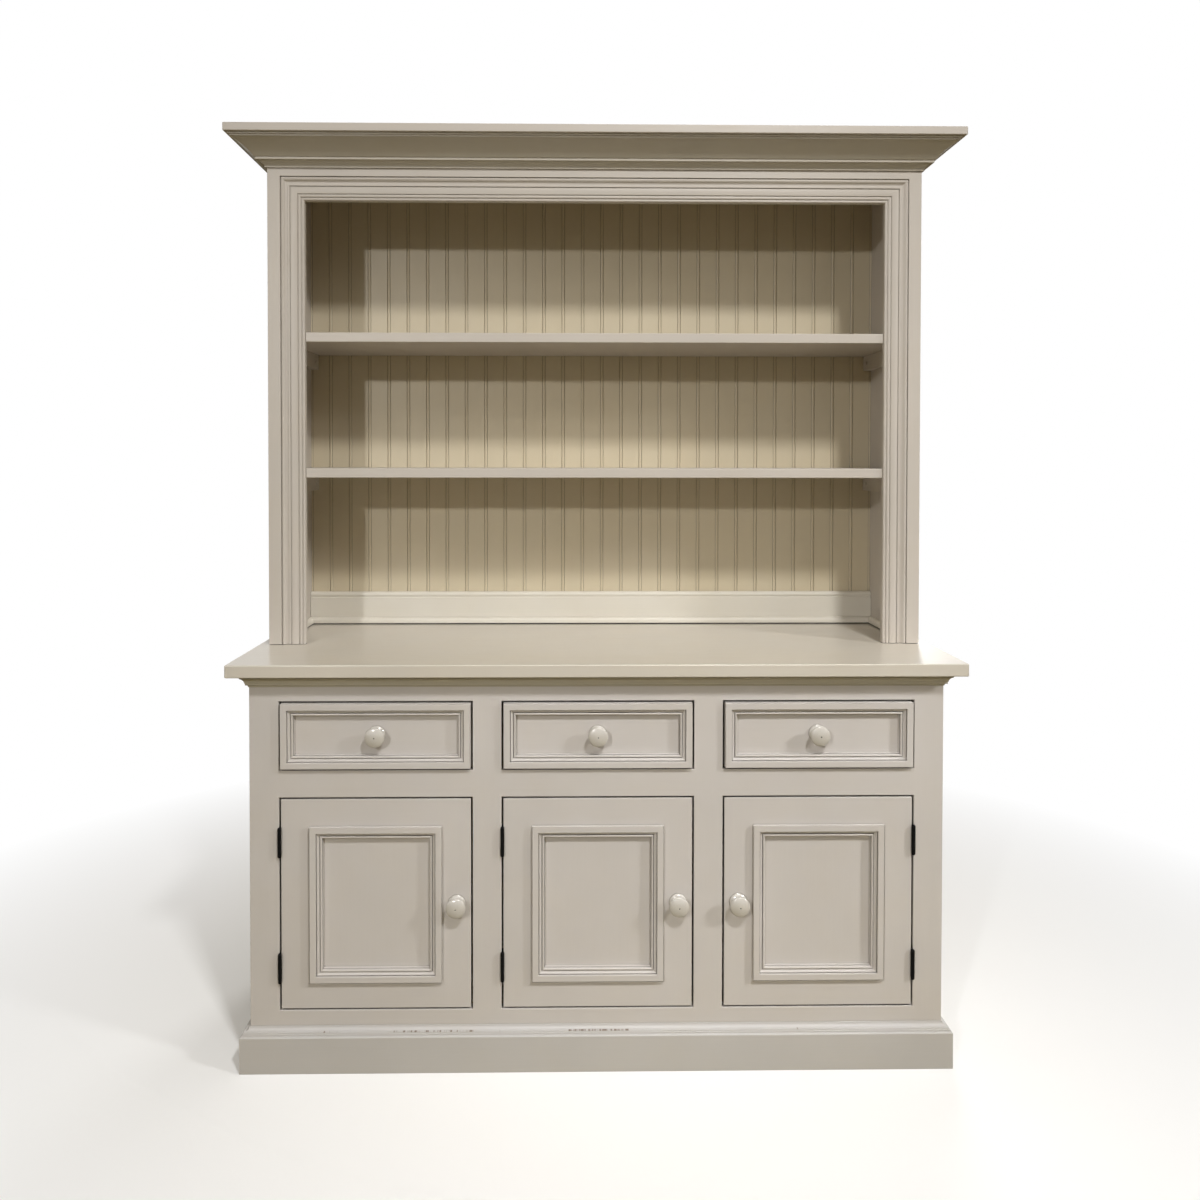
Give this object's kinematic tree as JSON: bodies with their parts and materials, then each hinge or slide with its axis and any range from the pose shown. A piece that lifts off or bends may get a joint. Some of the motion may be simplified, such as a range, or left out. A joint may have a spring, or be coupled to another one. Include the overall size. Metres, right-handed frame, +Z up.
{
  "type": "step-back cupboard",
  "caption": "Painted two-piece step-back cupboard with a drawer-and-door base, a counter, and an open shelved hutch with a beaded back, fluted surround and crown moulding.",
  "frame": {"origin": "floor level under the middle of the cupboard's overall width and depth", "axes": "+X to the right of someone facing the cupboard, +Y to its back, +Z up; the drawers and doors face -Y"},
  "size_m": [1.658, 0.48, 2.05],
  "materials": {
    "cream_paint": "warm grey-cream satin paint",
    "counter_paint": "cream satin paint, smooth",
    "knob_paint": "cream semi-gloss paint over turned wood",
    "raw_pine": "bare planed pine",
    "plywood": "bare plywood",
    "black_iron": "matt black",
    "screw_steel": "darkened steel"
  },
  "bodies": {
    "cupboard": {"plinth": "cream_paint", "frame_stiles": "cream_paint", "frame_muntins": "cream_paint", "frame_rails": "cream_paint", "base_sides": "cream_paint", "base_bottom": "raw_pine", "base_back": "plywood", "base_partitions": "raw_pine", "base_stretchers": "raw_pine", "base_shelves": "raw_pine", "base_cleats": "raw_pine", "drawer_decks": "raw_pine", "drawer_guides": "raw_pine", "door_stops": "raw_pine", "hinge_frame_leaves": "black_iron", "hinge_pins": "black_iron", "counter_top": "counter_paint", "counter_moulding": "cream_paint", "hutch_sides": "cream_paint", "hutch_top": "cream_paint", "hutch_back": "cream_paint", "hutch_skirting": "cream_paint", "hutch_shoe": "cream_paint", "hutch_shelves": "cream_paint", "hutch_cleats": "cream_paint", "cleat_screws": "screw_steel", "hutch_face_frame": "cream_paint", "architrave": "cream_paint", "cornice": "cream_paint", "cornice_cap": "cream_paint"},
    "door_left": {"door_left_frame": "cream_paint", "door_left_panel": "cream_paint", "door_left_moulding": "cream_paint", "door_left_knob": "knob_paint", "door_left_hinge_leaves": "black_iron"},
    "drawer_left": {"drawer_left_front": "cream_paint", "drawer_left_moulding": "cream_paint", "drawer_left_box": "raw_pine", "drawer_left_bottom": "plywood", "drawer_left_knob": "knob_paint"},
    "door_middle": {"door_middle_frame": "cream_paint", "door_middle_panel": "cream_paint", "door_middle_moulding": "cream_paint", "door_middle_knob": "knob_paint", "door_middle_hinge_leaves": "black_iron"},
    "drawer_middle": {"drawer_middle_front": "cream_paint", "drawer_middle_moulding": "cream_paint", "drawer_middle_box": "raw_pine", "drawer_middle_bottom": "plywood", "drawer_middle_knob": "knob_paint"},
    "door_right": {"door_right_frame": "cream_paint", "door_right_panel": "cream_paint", "door_right_moulding": "cream_paint", "door_right_knob": "knob_paint", "door_right_hinge_leaves": "black_iron"},
    "drawer_right": {"drawer_right_front": "cream_paint", "drawer_right_moulding": "cream_paint", "drawer_right_box": "raw_pine", "drawer_right_bottom": "plywood", "drawer_right_knob": "knob_paint"}
  },
  "joints": [
    {"name": "door_left_hinge", "type": "hinge", "parent": "cupboard", "child": "door_left", "pos_m": [-0.6785, -0.2063, 0.354], "axis": [0, 0, -1], "range_deg": [0, 175]},
    {"name": "door_middle_hinge", "type": "hinge", "parent": "cupboard", "child": "door_middle", "pos_m": [-0.20433, -0.2063, 0.354], "axis": [0, 0, -1], "range_deg": [0, 160]},
    {"name": "door_right_hinge", "type": "hinge", "parent": "cupboard", "child": "door_right", "pos_m": [0.6785, -0.2063, 0.354], "axis": [0, 0, 1], "range_deg": [0, 175]},
    {"name": "drawer_left_slide", "type": "slide", "parent": "cupboard", "child": "drawer_left", "axis": [0, -1, 0], "range_m": [0, 0.3]},
    {"name": "drawer_middle_slide", "type": "slide", "parent": "cupboard", "child": "drawer_middle", "axis": [0, -1, 0], "range_m": [0, 0.3]},
    {"name": "drawer_right_slide", "type": "slide", "parent": "cupboard", "child": "drawer_right", "axis": [0, -1, 0], "range_m": [0, 0.3]}
  ]
}
